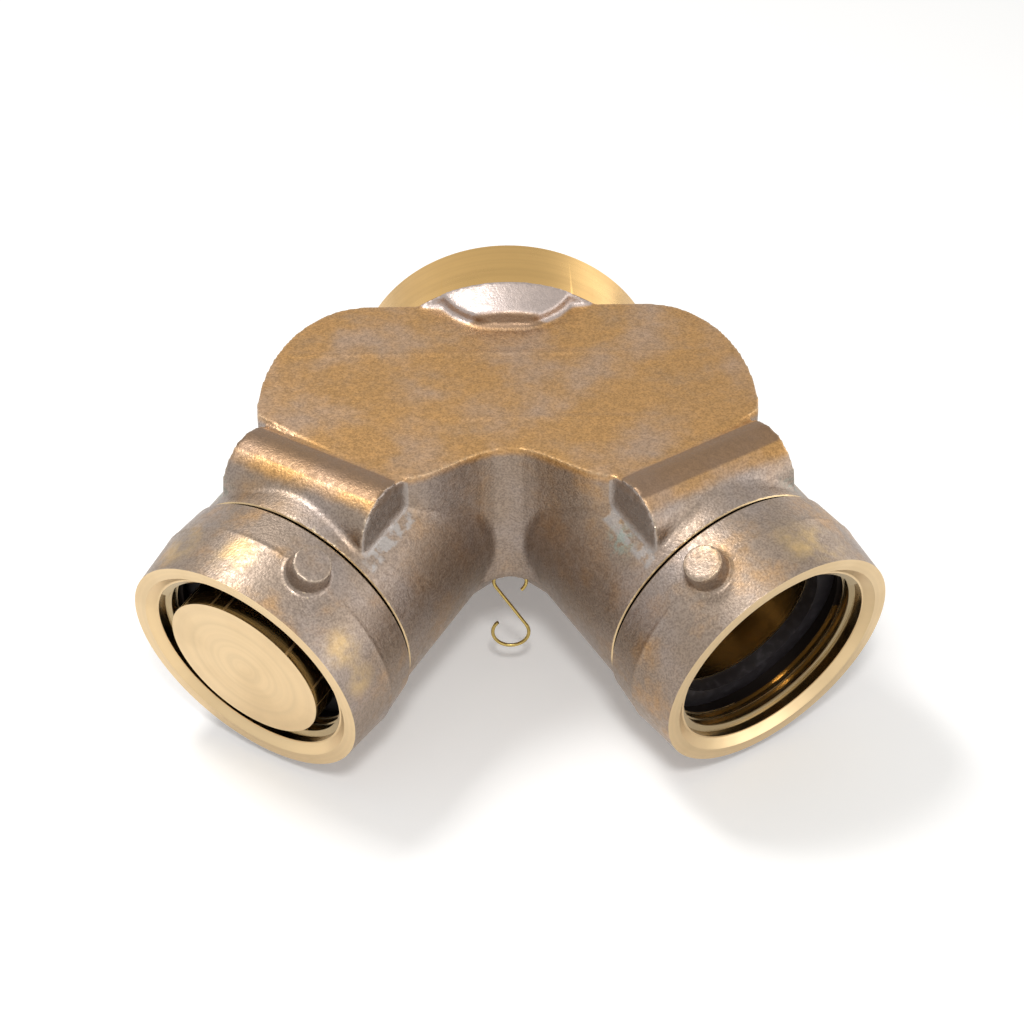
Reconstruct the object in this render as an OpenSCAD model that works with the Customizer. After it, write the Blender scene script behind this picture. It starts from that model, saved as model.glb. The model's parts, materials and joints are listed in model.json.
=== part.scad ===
// Two-way fire department connection: a cast brass body with a threaded
// outlet at the back and two swivel inlets, each with its own clapper valve.
// Frame: the origin is the centre of the outlet's mouth, +Y runs into the
// wall along the outlet's axis and +Z is up. The right inlet is modelled and
// the left one is its mirror image.

/* [Outlet] */
// Outside diameter of the turned outlet hub
hub_d = 124; // [121:0.5:128]
// Length of the turned hub, from its mouth to the wall plate's shoulder
hub_len = 27; // [24:0.5:32]
// Tapping diameter of the outlet thread
outlet_tap_d = 110; // [106:0.5:112]
// Length of the outlet thread
outlet_tap_len = 36; // [30:1:38]
// Bore of the waterway in front of the thread
outlet_bore_d = 98; // [90:1:102]
// Height of the raw casting above the turned hub
raw_step = 0.7; // [0.4:0.1:1.2]
// Length of the raised dome in front of the shoulder
dome_len = 16.5; // [15:0.5:20]
// Width of the raised dome
dome_w = 50; // [46:1:56]

/* [Body] */
// Thickness of the cast walls
wall = 6; // [5:0.5:7]
// Height of the top face above the outlet's axis
top_h = 51.6; // [50:0.2:54]
// Width of the top face
top_w = 187; // [184:1:192]
// Reach of the top face in front of the line where the tubes meet
web_len = 9.25; // [8:0.25:11]
// Thickness of the lip that runs down the crotch
lip_t = 1.4; // [1.2:0.1:1.8]

/* [Inlets] */
// Angle of each inlet away from the centre plane
inlet_az = 33.2; // [32:0.2:35]
// Angle of each inlet below the horizontal
inlet_pitch = 10; // [9:0.5:11]
// Sideways place of an inlet's mouth
inlet_x = 97; // [96:0.5:99]
// Distance from the shoulder forward to an inlet's mouth
inlet_reach = 143.4; // [142:0.2:146]
// Drop of an inlet's mouth below the outlet's axis
inlet_drop = 8.8; // [8:0.2:10]
// Outside diameter of the cast tube behind each swivel
tube_d = 97; // [96:0.5:98]
// Bore of the inlet nozzle
nozzle_bore_d = 64; // [62:0.5:66]
// Outside diameter of the nozzle inside the swivel
nozzle_d = 77; // [76:0.5:78]
// Bore of the clapper chamber behind the seat
chamber_d = 85; // [83:0.5:86]

/* [Swivels] */
// Diameter of the swivel at its mouth and at its tail
swivel_d = 99; // [98:0.5:101]
// Diameter of the swivel at its parting line
swivel_mid_d = 101.5; // [101:0.5:104]
// Length of the swivel
swivel_len = 34.6; // [34:0.2:36]
// Bore across the roots of the hose thread
hose_bore_d = 78.4; // [77.5:0.1:79]
// Diameter of the turned recess at the mouth
mouth_d = 84; // [82:0.5:86]
// Depth from the mouth to the gasket
gasket_depth = 19; // [18:0.5:20]
// Thickness of the hose gasket
gasket_t = 6; // [5:0.5:6.5]
// Diameter of the gasket recess
gasket_seat_d = 81; // [80:0.5:82]
// Inside diameter of the gasket
gasket_bore_d = 65; // [64.5:0.5:67]
// Diameter of a pin lug
lug_d = 15; // [13:0.5:17]
// Height of a pin lug above the parting line
lug_h = 8; // [6:0.5:10]
// Depth of the lugs' middle behind the swivel's face
lug_depth = 20; // [15:0.5:23]
// Turn of the right swivel's lug from the top, towards the centre
lug_turn_right = 30; // [0:1:60]
// Turn of the left swivel's lug from the top, towards the centre
lug_turn_left = 28; // [0:1:60]
// Diameter of a bearing ball
ball_d = 4.8; // [4:0.1:5]

/* [Clappers] */
// Depth from an inlet's mouth to the clapper's seat
seat_depth = 50; // [49.5:0.5:52]
// Diameter of the clapper
clapper_d = 74; // [72:0.5:75]
// Thickness of the clapper's disc
clapper_t = 5; // [4:0.5:6]
// Thickness of the clapper's rubber facing
facing_t = 3; // [2:0.5:4]
// Diameter of the hinge pin
pin_d = 6; // [5:0.5:7]
// Distance of the hinge pin from the inlet's axis
pin_height = 41.5; // [41:0.25:43]
// Distance from the seat back to the hinge pin
pin_back = 11; // [10:0.5:12]
// Length of the hinge pin
pin_len = 60; // [56:1:62]
// Radius of the cast boss over the hinge
boss_r = 16.5; // [16:0.25:17.5]
// Half of the boss's length along the hinge
boss_half = 31.5; // [31:0.5:33]

/* [Hook] */
// Diameter of the hook's wire
wire_d = 1.4; // [1.2:0.1:1.6]
// Radius of each of the hook's loops, at the middle of the wire
loop_r = 7; // [6.6:0.1:7.4]
// Distance between the centres of the hook's loops
loop_gap = 26; // [24:0.5:32]
// Radius of the upper loop, that hangs in the eye
upper_loop_r = 6.2; // [5.8:0.1:6.6]
// Bore of the cast eye that holds the hook
eye_bore_d = 4.4; // [4.2:0.1:4.8]
// Thickness of the cast eye
eye_t = 4; // [3:0.5:5]

/* [Hidden] */
$fn = 96;
EPS = 0.01;
HULL_FN = 40;

run_clear = 0.1;      // running clearance on a radius
loose_clear = 0.3;    // clearance of parts that only rest against each other
seam_gap = 0.7;       // gap between a swivel's tail and the tube
race_clear = 0.1;     // clearance of a ball in its race

brass_cast = "#9a7a4c";
brass_turned = "#d8b878";
rubber_black = "#1c1c1e";
steel_grey = "#9a9a98";

// ---- places that follow from the sizes ----
shoulder_y = -hub_len;
nozzle_end = gasket_depth + gasket_t;                 // depth of the nozzle's end
tube_front = swivel_len + seam_gap;                   // depth of the tube's front face
race_depth = (nozzle_end + swivel_len) / 2;           // depth of the ball race
race_r = nozzle_d / 2 + run_clear / 2;
ball_count = floor(PI * 2 * race_r / (ball_d + 0.6));
pin_depth = seat_depth + pin_back;
tube_back = seat_depth + 45;                          // depth where the tube's round end begins
boss_depth = pin_depth - 3.5;                         // depth of the boss's centre line
boss_height = tube_d / 2 - 12;                        // its distance from the inlet's axis
axes_slope = atan(tan(inlet_pitch) / cos(inlet_az));  // slope of the plane of both inlets' axes

// Outline of the top face, from the crotch round one side to the shoulder.
// The places are measured from the shoulder.
meet_depth = (inlet_x - tube_d / 2 * cos(inlet_az)) / (sin(inlet_az) * cos(inlet_pitch));
meet_y = shoulder_y - inlet_reach + meet_depth * cos(inlet_az) * cos(inlet_pitch)
    - tube_d / 2 * sin(inlet_az);
crotch_len = shoulder_y - meet_y + web_len;
horn_len = crotch_len + 17.5;  // of the foremost points, beside the bosses
horn_x = 39.5;
ridge_end = [46.5, -horn_len + 3.5];
side_len = 64;                 // of the widest points
corner_w = 38;                 // width of the elliptic back corner
function crotch_y(x) = -crotch_len - (horn_len - crotch_len) * (1 - cos(180 * x / horn_x)) / 2;
half_outline = concat(
    [for (i = [0:8]) let (x = horn_x * i / 8) [x, crotch_y(x)]],
    [ridge_end, [top_w / 2 - 0.5, -side_len - 7]],
    [for (a = [0:9:90]) [top_w / 2 - corner_w + corner_w * cos(a), side_len * (sin(a) - 1)]]
);
outline = concat(
    half_outline,
    [for (i = [len(half_outline) - 1:-1:1]) [-half_outline[i][0], half_outline[i][1]]]
);

// Children are drawn in the right inlet's frame: its mouth at z = 0, +Z out
// of the mouth, +X along the clapper's hinge and +Y up.
module inlet_frame() {
    translate([inlet_x, shoulder_y - inlet_reach, -inlet_drop])
        rotate([90 + inlet_pitch, 0, inlet_az])
            children();
}

// Children are drawn on the chosen side.
module on_side(side) {
    if (side == "right") children();
    else mirror([1, 0, 0]) children();
}

// A cylinder about an inlet's axis between two depths below its mouth.
module bored(d, from, to) {
    translate([0, 0, -to]) cylinder(d = d, h = to - from);
}

// A cylinder along the hinge, at a depth and a height.
module along_hinge(r, depth, height, from, to) {
    translate([from, height, -depth]) rotate([0, 90, 0]) cylinder(r = r, h = to - from);
}

// A profile of radius and place along the outlet's axis, turned about it.
module turned(profile) {
    rotate([-90, 0, 0]) rotate_extrude() polygon(profile);
}

// ---- body ----

module hub() {
    bevel = 1.5;
    turned([
        [0, shoulder_y - 1], [hub_d / 2, shoulder_y - 1], [hub_d / 2, -bevel],
        [hub_d / 2 - bevel, 0], [0, 0]
    ]);
}

// The raw casting of the hub, where it stands above the top face.
module dome() {
    r = hub_d / 2 + raw_step;
    dome_fall = 5;
    front_r = ((dome_w / 2) ^ 2 + dome_len ^ 2) / (2 * dome_len);
    intersection() {
        turned([
            [0, shoulder_y], [r, shoulder_y], [r - dome_fall, shoulder_y - dome_len + 3],
            [top_h - 2, shoulder_y - dome_len], [0, shoulder_y - dome_len]
        ]);
        translate([0, shoulder_y - dome_len + front_r, 0]) cylinder(r = front_r, h = top_h + 20);
    }
}

// All that lies above a height, in front of the shoulder.
module above(height) {
    big = 400;
    translate([-big / 2, shoulder_y - big, height]) cube([big, big, big]);
}

// All that lies below the plane of the inlets' axes, moved up by a rise.
module below_axes(rise = 0) {
    big = 400;
    translate([0, shoulder_y - inlet_reach, -inlet_drop + rise]) rotate([axes_slope, 0, 0])
        translate([-big / 2, -big / 2, -big]) cube([big, big, big]);
}

// The flat-topped middle of the body, with upright walls.
module slab() {
    difference() {
        translate([0, shoulder_y, -top_h]) linear_extrude(2 * top_h) polygon(outline);
        below_axes(rise = web_rise);
        intersection() {
            below_axes(rise = web_rise + 6.5);
            translate([-200, shoulder_y - crotch_len + lip_t, -200]) cube(400);
        }
    }
}

// The rear of each tube, drawn together into the hub.
module shoulder_blend($fn = HULL_FN) {
    difference() {
        hull() {
            inlet_frame() translate([0, 0, -tube_back + 6]) cylinder(d = tube_d + 1, h = 1);
            inlet_frame() translate([0, 0, -tube_back]) sphere(d = tube_d + 1);
            rotate([90, 0, 0]) translate([0, 0, hub_len]) cylinder(r = hub_d / 2 + raw_step, h = 6);
        }
        above(top_h - 1);
    }
}

module tube() {
    inlet_frame() bored(tube_d, tube_front, seat_depth + 10);
    difference() {
        inlet_frame() bored(tube_d, seat_depth + 9, tube_back);
        above(top_h - 1);
    }
    inlet_frame() bored(nozzle_d, nozzle_end, tube_front + 1);
}

// The cast boss that covers the clapper's hinge.
module hinge_boss() {
    inlet_frame() along_hinge(boss_r, boss_depth, boss_height, -boss_half, boss_half);
}

// A fin behind the crotch's lip, bored for the hook.
web_rise = -12.5;
web_z = web_rise - inlet_drop + (inlet_reach - crotch_len) * tan(axes_slope);
eye_y = shoulder_y - crotch_len + lip_t / 2 + 2.1;
eye_z = web_z + 3.45;
module eye() {
    r = eye_bore_d / 2 + 1.3;
    intersection() {
        translate([-eye_t / 2, eye_y, eye_z]) {
            rotate([0, 90, 0]) cylinder(r = r, h = eye_t);
            translate([0, -2, 0]) cube([eye_t, r + 1, 20]);
        }
        translate([-eye_t, shoulder_y - crotch_len + 0.1, eye_z - 10]) cube(40);
    }
}

// The waterway, the chambers and every hole in the body.
module body_hollows() {
    turned([
        [0, EPS], [outlet_tap_d / 2, EPS], [outlet_tap_d / 2, -outlet_tap_len],
        [outlet_bore_d / 2, -outlet_tap_len], [outlet_bore_d / 2, -outlet_tap_len - 18],
        [0, -outlet_tap_len - 18]
    ]);
    // The cavity under the top face, where the open clappers lie.
    difference() {
        translate([0, shoulder_y, -top_h])
            linear_extrude(2 * top_h - wall) offset(delta = -wall) polygon(outline);
        below_axes();
        for (side = ["right", "left"]) on_side(side) inlet_frame() bored(200, 0, seat_depth);
        translate([-200, shoulder_y - wall, -100]) cube([400, 60, 200]);
    }
    for (side = ["right", "left"]) on_side(side) {
        inlet_frame() {
            bored(nozzle_bore_d, nozzle_end - 1, seat_depth + 1);
            rotate_extrude() polygon([
                [0, -seat_depth], [chamber_d / 2, -seat_depth], [chamber_d / 2, -tube_back],
                [chamber_d / 2 - 9, -tube_back - 24], [chamber_d / 2 - 26, -tube_back - 37],
                [0, -tube_back - 37]
            ]);
            translate([0, 0, -race_depth]) rotate_extrude()
                translate([race_r, 0]) circle(d = ball_d + 2 * race_clear, $fn = 48);
            pocket_r = 10.5;
            along_hinge(pocket_r, seat_depth + pocket_r, boss_height + 2, -19, 19);
            along_hinge(pin_d / 2 + run_clear, pin_depth, pin_height, -pin_len / 2 + 6, boss_half + 1);
            along_hinge(5.5, pin_depth, pin_height, boss_half - 4, boss_half + 30);
        }
    }
    translate([-eye_t, eye_y, eye_z]) rotate([0, 90, 0]) cylinder(d = eye_bore_d, h = 2 * eye_t);
}

module body() color(brass_cast) {
    difference() {
        union() {
            hub();
            dome();
            slab();
            eye();
            for (side = ["right", "left"]) on_side(side) {
                tube();
                shoulder_blend();
                hinge_boss();
            }
        }
        body_hollows();
    }
}

// ---- swivel and what turns with it ----

module swivel(turn) color(brass_turned) inlet_frame() rotate([0, 0, turn]) {
    mid = lug_depth;
    difference() {
        union() {
            rotate_extrude() polygon([
                [0, 0], [swivel_d / 2 - 0.6, 0], [swivel_d / 2, -0.6], [swivel_mid_d / 2, -mid + 2],
                [swivel_mid_d / 2, -mid - 2], [swivel_d / 2, -swivel_len], [0, -swivel_len]
            ]);
            for (a = [90, 270]) rotate([0, 0, a]) translate([0, 0, -mid]) rotate([0, 90, 0])
                cylinder(d = lug_d, h = swivel_mid_d / 2 + lug_h);
        }
        translate([0, 0, -2]) cylinder(d1 = mouth_d - 4, d2 = mouth_d, h = 2 + EPS);
        bored(hose_bore_d, -1, gasket_depth + 1);
        bored(gasket_seat_d, gasket_depth, nozzle_end);
        bored(nozzle_d + 2 * run_clear, nozzle_end - 1, swivel_len + 1);
        translate([0, 0, -race_depth]) rotate_extrude()
            translate([race_r, 0]) circle(d = ball_d + 2 * race_clear, $fn = 48);
        translate([0, 0, -race_depth]) rotate([0, 90, 0]) cylinder(d = ball_d + 1, h = swivel_d);
    }
}

module hose_gasket() color(rubber_black) inlet_frame() {
    difference() {
        bored(gasket_seat_d - 0.2, gasket_depth + 0.05, nozzle_end - 0.15);
        bored(gasket_bore_d, 0, swivel_len);
    }
}

module bearing_balls() color(steel_grey) inlet_frame() {
    for (i = [0:ball_count - 1]) rotate([0, 0, 360 * i / ball_count])
        translate([race_r, 0, -race_depth]) sphere(d = ball_d, $fn = 24);
}

// The slotted plug that closes the hole through which the balls are fed.
module ball_plug(turn) color(brass_turned) inlet_frame() rotate([0, 0, turn]) {
    outer = swivel_d / 2 - 0.4;
    inner = race_r + ball_d / 2 + 0.5;
    translate([inner, 0, -race_depth]) rotate([0, 90, 0]) difference() {
        cylinder(d = ball_d + 0.8, h = outer - inner);
        translate([-5, -0.5, outer - inner - 1]) cube([10, 1, 2]);
    }
}

// ---- clapper and what turns with it ----

facing_front = seat_depth + loose_clear;
disc_front = facing_front + facing_t;
module clapper() color(brass_cast) inlet_frame() {
    ear_w = 7;
    ear_x = 10;
    difference() {
        union() {
            bored(clapper_d, disc_front, disc_front + clapper_t);
            bored(clapper_d * 0.45, disc_front + clapper_t - 1, disc_front + clapper_t + 3);
            for (x = [-ear_x, ear_x]) {
                along_hinge(pin_d / 2 + 3.2, pin_depth, pin_height, x - ear_w / 2, x + ear_w / 2);
                translate([x - ear_w / 2, clapper_d / 2 - 16, -pin_depth - 1])
                    cube([ear_w, pin_height - clapper_d / 2 + 14, pin_depth + 1 - disc_front - 1]);
            }
        }
        along_hinge(pin_d / 2 + run_clear, pin_depth, pin_height, -30, 30);
        bored(pin_d + 0.2, disc_front - 1, disc_front + clapper_t + 1);
    }
}

module clapper_facing() color(rubber_black) inlet_frame() {
    difference() {
        bored(nozzle_bore_d + 8, facing_front, disc_front);
        bored(nozzle_bore_d - 14, facing_front - 1, disc_front + 1);
    }
}

module facing_washer() color(brass_turned) inlet_frame() {
    difference() {
        bored(nozzle_bore_d - 14.4, facing_front - 1.5, disc_front);
        bored(pin_d + 0.2, facing_front - 3, disc_front + 1);
    }
}

module facing_screw() color(brass_turned) inlet_frame() {
    head_d = 12;
    head_front = facing_front - 5;
    difference() {
        union() {
            bored(pin_d, facing_front - 2, disc_front + clapper_t + 0.5);
            bored(head_d, head_front, facing_front - 1.5);
        }
        translate([-head_d, -0.7, -head_front - 1.4]) cube([2 * head_d, 1.4, 3]);
    }
}

module hinge_pin() color(steel_grey) inlet_frame() {
    along_hinge(pin_d / 2, pin_depth, pin_height, -pin_len / 2 + 6.3, boss_half - 4.3);
}

// The plug that keeps the hinge pin in, with a square drive recess.
module pin_plug() color(brass_turned) inlet_frame() {
    difference() {
        along_hinge(5.4, pin_depth, pin_height, boss_half - 4, boss_half + 2);
        translate([boss_half, pin_height - 2.5, -pin_depth - 2.5]) cube([5, 5, 5]);
    }
}

// ---- hook ----

// Wire bent round part of a loop in the XZ plane.
module wire_arc(centre, r, from, sweep) {
    translate(centre) rotate([90, 0, 0]) rotate([0, 0, from])
        rotate_extrude(angle = sweep) translate([r, 0]) circle(d = wire_d, $fn = 24);
}

// The hook hangs by its upper loop from the bottom of the eye's bore.
module s_hook() color(brass_turned) {
    sag = upper_loop_r - sqrt(upper_loop_r ^ 2 - (eye_t / 2) ^ 2);
    upper = [0, eye_y, eye_z - eye_bore_d / 2 + wire_d / 2 + loose_clear + sag - upper_loop_r];
    lower = upper - [0, 0, loop_gap];
    lean = asin((upper_loop_r + loop_r) / loop_gap);
    open_end = 45;
    wire_arc(upper, upper_loop_r, -open_end, 180 + lean + open_end);
    wire_arc(lower, loop_r, -180 - open_end, 180 + lean + open_end);
    join = 0.1;
    join_step = 0.05;
    translate(upper + upper_loop_r * [-cos(lean), 0, -sin(lean)]) rotate([0, 180 - lean, 0])
        translate([0, 0, -join])
            cylinder(d = wire_d - 2 * join_step, h = loop_gap * cos(lean) + 2 * join, $fn = 24);
}

body();
on_side("right") swivel(lug_turn_right);  // swivel_right
on_side("left") swivel(lug_turn_left);  // swivel_left
on_side("right") hose_gasket();  // hose_gasket_right
on_side("left") hose_gasket();  // hose_gasket_left
on_side("right") bearing_balls();  // bearing_balls_right
on_side("left") bearing_balls();  // bearing_balls_left
on_side("right") ball_plug(lug_turn_right);  // ball_plug_right
on_side("left") ball_plug(lug_turn_left);  // ball_plug_left
on_side("right") clapper();  // clapper_right
on_side("left") clapper();  // clapper_left
on_side("right") clapper_facing();  // clapper_facing_right
on_side("left") clapper_facing();  // clapper_facing_left
on_side("right") facing_washer();  // facing_washer_right
on_side("left") facing_washer();  // facing_washer_left
on_side("right") facing_screw();  // facing_screw_right
on_side("left") facing_screw();  // facing_screw_left
on_side("right") hinge_pin();  // hinge_pin_right
on_side("left") hinge_pin();  // hinge_pin_left
on_side("right") pin_plug();  // pin_plug_right
on_side("left") pin_plug();  // pin_plug_left
s_hook();
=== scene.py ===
"""Two-way fire department connection: a cast brass body with swivel hose
inlets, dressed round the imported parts. Metres; +Y into the wall, +Z up."""

import json
import math

import bpy
from bpy.props import (
    FloatProperty,
    FloatVectorProperty,
    IntProperty,
    PointerProperty,
)
from mathutils import Matrix, Vector


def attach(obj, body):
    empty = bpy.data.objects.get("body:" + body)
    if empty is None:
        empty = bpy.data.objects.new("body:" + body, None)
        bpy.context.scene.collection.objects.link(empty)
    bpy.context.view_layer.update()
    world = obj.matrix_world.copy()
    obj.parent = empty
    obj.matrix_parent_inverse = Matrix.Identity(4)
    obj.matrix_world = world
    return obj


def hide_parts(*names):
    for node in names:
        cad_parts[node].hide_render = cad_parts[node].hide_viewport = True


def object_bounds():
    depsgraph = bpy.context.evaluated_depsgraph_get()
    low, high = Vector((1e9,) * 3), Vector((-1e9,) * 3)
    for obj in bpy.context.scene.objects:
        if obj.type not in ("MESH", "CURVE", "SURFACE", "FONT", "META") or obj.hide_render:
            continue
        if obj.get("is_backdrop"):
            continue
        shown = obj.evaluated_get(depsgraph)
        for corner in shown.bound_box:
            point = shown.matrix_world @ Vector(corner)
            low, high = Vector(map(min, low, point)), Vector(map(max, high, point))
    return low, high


bl_info = {
    "name": "Fire Department Connection",
    "version": (1, 0, 0),
    "blender": (4, 5, 0),
    "location": "View3D > Sidebar > Inlet",
    "description": "Casts, turns and finishes a two-way fire department connection",
    "category": "Object",
}

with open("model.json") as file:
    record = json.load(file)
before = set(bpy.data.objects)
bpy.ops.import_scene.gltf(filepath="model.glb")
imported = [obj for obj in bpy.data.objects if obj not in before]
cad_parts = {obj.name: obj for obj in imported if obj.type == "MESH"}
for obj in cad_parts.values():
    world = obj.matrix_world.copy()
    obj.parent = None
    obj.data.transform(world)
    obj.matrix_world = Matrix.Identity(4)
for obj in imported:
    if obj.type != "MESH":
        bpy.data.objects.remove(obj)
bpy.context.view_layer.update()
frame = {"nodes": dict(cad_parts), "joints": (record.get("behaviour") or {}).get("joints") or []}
MM = 0.001
SIDES = ("right", "left")
ROUND = 192  # sides of a turned circle
MOST_TRIANGLES = 150000  # in one raw casting
MIRROR = Matrix.Diagonal((-1.0, 1.0, 1.0, 1.0))


# ---- places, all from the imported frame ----

JOINTS = {j["name"]: j for j in frame["joints"]}
MOUTH = Vector(JOINTS["swivel_turn_right"]["pos_m"])
OUT = Vector(JOINTS["swivel_turn_right"]["axis"]).normalized()
HINGE = Vector(JOINTS["clapper_swing_right"]["axis"]).normalized()
RISE = OUT.cross(HINGE).normalized()
PIN = Vector(JOINTS["clapper_swing_right"]["pos_m"]) - MOUTH
PIN_DEPTH = -PIN.dot(OUT)
PIN_HEIGHT = PIN.dot(RISE)
BOSS_DEPTH = PIN_DEPTH - 3.5 * MM
BOSS_HEIGHT = PIN_HEIGHT - 5 * MM
EYE = Vector(JOINTS["hook_swing"]["pos_m"])

# In millimetres: x, y, z and size of the patches, then y, start and end of the seams.
RUBBED_PATCHES = (
    (111, -163, 40, 14), (102, -163, 42, 13), (-117, -153, 35, 13),
    (-96, -168, 43, 11), (-58, -190, 18, 11), (-53, -192, 5, 9),
)
PATINA_PATCHES = ((-104, -118, 36, 14), (-86, -126, 36, 10), (101, -122, 35, 12), (40, -150, 32, 9))
SEAMS = ((-59.5, -84, 88), (-101, -24, 56))
TOP_FACE = 51.6 * MM


def inlet_frame(side):
    """From an inlet's own frame, +Z out of its mouth, to the part's frame."""
    cols = [HINGE, RISE, OUT, MOUTH]
    m = Matrix([[c[i] for c in cols] for i in range(3)] + [[0, 0, 0, 1]])
    return MIRROR @ m if side == "left" else m


def hex_colour(code):
    """An sRGB hex colour as linear red, green and blue."""
    out = []
    for i in (1, 3, 5):
        c = int(code[i:i + 2], 16) / 255
        out.append(c / 12.92 if c <= 0.04045 else ((c + 0.055) / 1.055) ** 2.4)
    return tuple(out)


def length(name, text, default):
    return FloatProperty(name=name, description=text, default=default, unit="LENGTH", precision=5)


def colour(name, text, code):
    return FloatVectorProperty(
        name=name, description=text, default=hex_colour(code), subtype="COLOR", size=3, min=0, max=1
    )


class CastingSettings(bpy.types.PropertyGroup):
    voxel: length("Sand detail", "Smallest form that the sand mould holds", 1.05 * MM)
    edge_passes: IntProperty(
        name="Edge passes", description="Passes that wear the cast edges", default=3, min=0
    )
    fillet_passes: IntProperty(
        name="Fillet passes", description="Passes that fill the cast corners", default=22, min=0
    )
    triangles: IntProperty(
        name="Triangles", description="Most triangles in the raw casting", default=MOST_TRIANGLES, min=1000
    )
    shoulder: length("Shoulder", "Place of the machined shoulder along the outlet's axis", -27 * MM)
    hub_radius: length("Hub radius", "Outside radius of the turned hub", 62 * MM)
    outlet_radius: length("Outlet radius", "Radius of the outlet's tapping", 55 * MM)
    outlet_depth: length("Outlet depth", "Length of the outlet's tapping", 36 * MM)
    tube_radius: length("Tube radius", "Outside radius of a tube", 48.5 * MM)
    tube_front: length("Tube front", "Depth of a tube's turned front behind the mouth", 36.1 * MM)
    nozzle_front: length("Nozzle front", "Depth of the nozzle's end behind the mouth", 25 * MM)
    nozzle_radius: length("Nozzle radius", "Radius on which the swivel turns", 38.5 * MM)
    nozzle_bore: length("Nozzle bore", "Radius of the waterway in the nozzle", 32 * MM)
    seat_depth: length("Seat depth", "Depth of the clapper's seat behind the mouth", 50 * MM)
    eye_radius: length("Eye radius", "Radius of the hook's eye", 2.2 * MM)
    gold: colour("Raw gold", "Warm colour of the raw brass", "#b98f5c")
    brown: colour("Raw brown", "Brown colour of the raw brass", "#988778")
    mauve: colour("Mould skin", "Purple-grey skin left by the mould", "#a8a0a0")
    grey: colour("Cut gate", "Grey of the sawn gates", "#a39a94")
    # Lighter brass on the convex edges: partly rubbed edges, partly a painted highlight.
    worn_edge_highlight: colour("Worn edge", "Bright brass along the worn edges", "#e3cfae")
    # Painted highlight: the silvery colour on the sloping top of the dome stands for the lamp's reflection there.
    pad: colour("Dome pad", "Painted silvery highlight on top of the dome", "#b5aaa6")
    shade: colour("Dome wall", "Painted shade on the wall in front of the dome", "#7d6653")
    # Painted shade: the dark colour of the wall in front of the dome stands for the shade on it.
    patina: colour("Patina", "Faint blue-green bloom", "#8fa39a")


class SwivelSettings(bpy.types.PropertyGroup):
    voxel: length("Sand detail", "Smallest form that the sand mould holds", 0.75 * MM)
    edge_passes: IntProperty(
        name="Edge passes", description="Passes that wear the cast edges", default=4, min=0
    )
    fillet_passes: IntProperty(
        name="Fillet passes", description="Passes that fill the cast corners", default=26, min=0
    )
    face_radius: length("Face radius", "Outside radius at the mouth", 49 * MM)
    belly_radius: length("Belly radius", "Outside radius at the lugs", 50.75 * MM)
    length: length("Length", "Length of the swivel", 34.6 * MM)
    lug_depth: length("Lug depth", "Depth of the lugs behind the mouth", 20 * MM)
    lug_radius: length("Lug radius", "Radius of a lug", 7.5 * MM)
    lug_height: length("Lug height", "Height of a lug over the belly", 8 * MM)
    lug_turn_right: FloatProperty(
        name="Right lug turn", description="Turn of the right swivel", default=math.radians(30), subtype="ANGLE"
    )
    lug_turn_left: FloatProperty(
        name="Left lug turn", description="Turn of the left swivel", default=math.radians(28), subtype="ANGLE"
    )
    mouth_radius: length("Mouth radius", "Radius of the lead-in at the face", 44.2 * MM)
    mouth_depth: length("Mouth depth", "Depth of the lead-in", 2.8 * MM)
    root_radius: length("Thread root", "Radius of the hose thread's roots", 40.3 * MM)
    crest_radius: length("Thread crest", "Radius of the hose thread's crests", 38.1 * MM)
    pitch: length("Thread pitch", "Pitch of the hose thread", 3.387 * MM)
    seat_radius: length("Gasket seat radius", "Radius of the gasket's seat", 40.5 * MM)
    gasket_depth: length("Gasket depth", "Depth of the gasket's seat", 19 * MM)
    face: colour("Turned face", "Pale fresh-cut brass", "#dcc196")
    turned: colour("Turned bore", "Turned brass inside the swivel", "#b09c78")
    rubbed: colour("Rubbed patch", "Golden brass where the skin is rubbed through", "#cfb07c")


class FittingSettings(bpy.types.PropertyGroup):
    hub: colour("Turned hub", "Turned brass of the outlet hub", "#dcb26e")
    wire: colour("Wire", "Drawn brass wire", "#c9b06a")
    rubber: colour("Rubber", "Moulded black rubber", "#1f1b1e")
    steel: colour("Steel", "Polished steel", "#b4b2ae")


class StageSettings(bpy.types.PropertyGroup):
    camera_place: FloatVectorProperty(
        name="Camera place", description="Where the camera stands",
        default=(0.00108, -0.79383, 0.56748), subtype="TRANSLATION", size=3,
    )
    target: FloatVectorProperty(
        name="Target", description="Where the camera looks",
        default=(0.00108, -0.11344, 0.01651), subtype="TRANSLATION", size=3,
    )
    roll: FloatProperty(
        name="Roll", description="Turn of the camera about its view",
        default=math.radians(-0.76), subtype="ANGLE",
    )
    lens: FloatProperty(name="Lens", description="Focal length in millimetres", default=82.14, unit="CAMERA")
    floor: colour("Floor", "Colour of the floor", "#f4f3f1")
    overhead: FloatProperty(name="Overhead", description="Power of the lamp overhead", default=7.0, unit="POWER")
    front: FloatProperty(name="Front", description="Power of the lamp in front", default=6.0, unit="POWER")
    ambient: FloatProperty(name="Ambient", description="Level of the room's light", default=0.48, min=0, max=2)
    window: FloatProperty(name="Window", description="Glare of the window on the right", default=0.5, min=0, max=1)


# ---- hands: small helpers for the work in the scene ----

def choose(*objects):
    """Selects only these objects, the first one active."""
    bpy.ops.object.select_all(action="DESELECT")
    for o in objects:
        o.select_set(True)
    bpy.context.view_layer.objects.active = objects[0]


def primitive(kind, name, **settings):
    """Adds a mesh primitive and names it."""
    bpy.ops.object.select_all(action="DESELECT")
    getattr(bpy.ops.mesh, f"primitive_{kind}_add")(**settings)
    o = bpy.context.object
    o.name = o.data.name = name
    return o


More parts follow.
